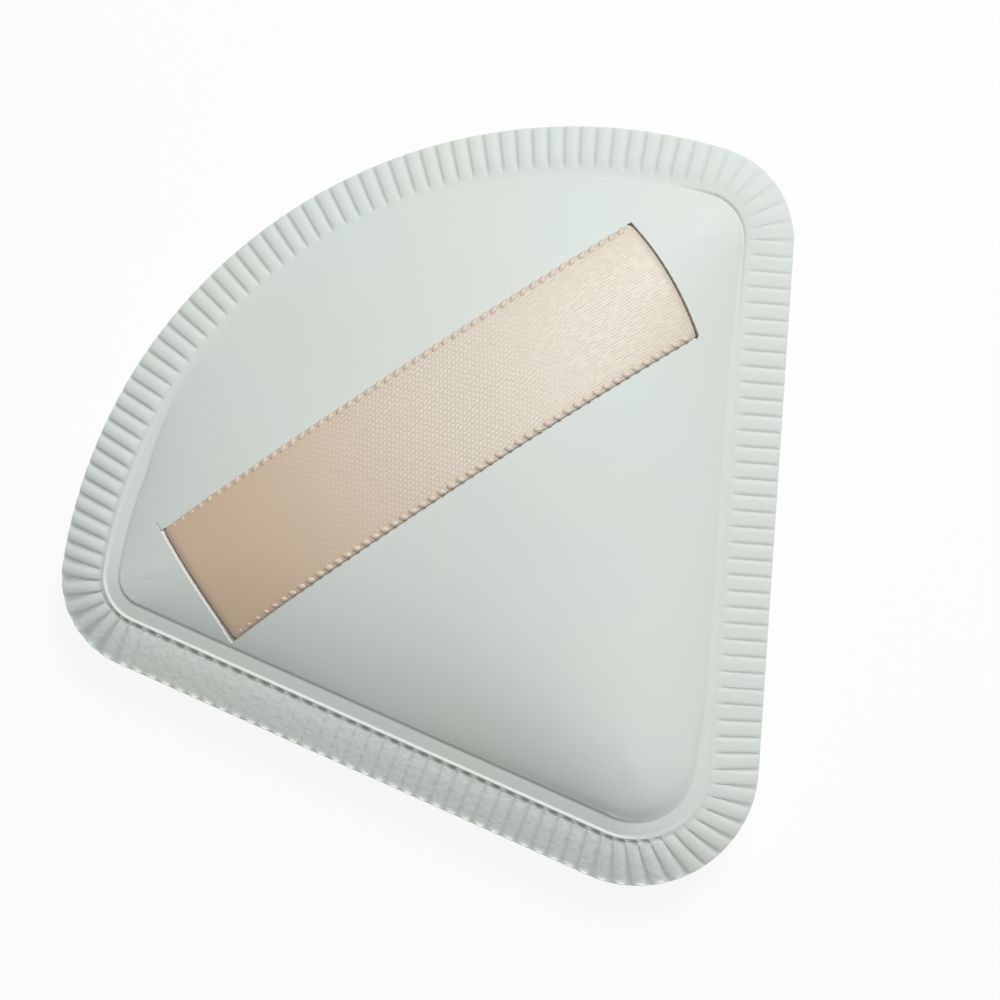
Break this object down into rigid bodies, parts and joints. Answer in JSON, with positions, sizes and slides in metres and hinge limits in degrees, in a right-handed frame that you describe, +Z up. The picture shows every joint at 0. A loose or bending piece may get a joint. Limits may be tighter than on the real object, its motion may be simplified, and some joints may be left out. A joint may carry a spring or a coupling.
{
  "type": "powder puff",
  "caption": "Fan-shaped cosmetic powder puff with a ribbed weld rim, a domed back with a satin finger ribbon through two slits, and a plush application face.",
  "frame": {"origin": "centre of the bounding box's bottom, on the surface that the puff lies on", "axes": "+Z up through the back, +X along the ribbon, +Y from the rounded tip to the wide arc"},
  "size_m": [0.0762, 0.071, 0.0148],
  "materials": {
    "cover_sheet": "satin",
    "plush": "matte",
    "foam": "matte",
    "satin": "satin",
    "bond_patch": "matte"
  },
  "bodies": {
    "pad": {"back_cover": "cover_sheet", "front_face": "plush", "foam_core": "foam", "left_tail_patch": "bond_patch", "right_tail_patch": "bond_patch"},
    "strap": {"ribbon_strap": "satin"}
  },
  "joints": [
    {"name": "strap_lift", "type": "slide", "parent": "pad", "child": "strap", "axis": [0, 0, 1], "range_m": [0, 0.005], "deforming": ["ribbon_strap"]}
  ]
}
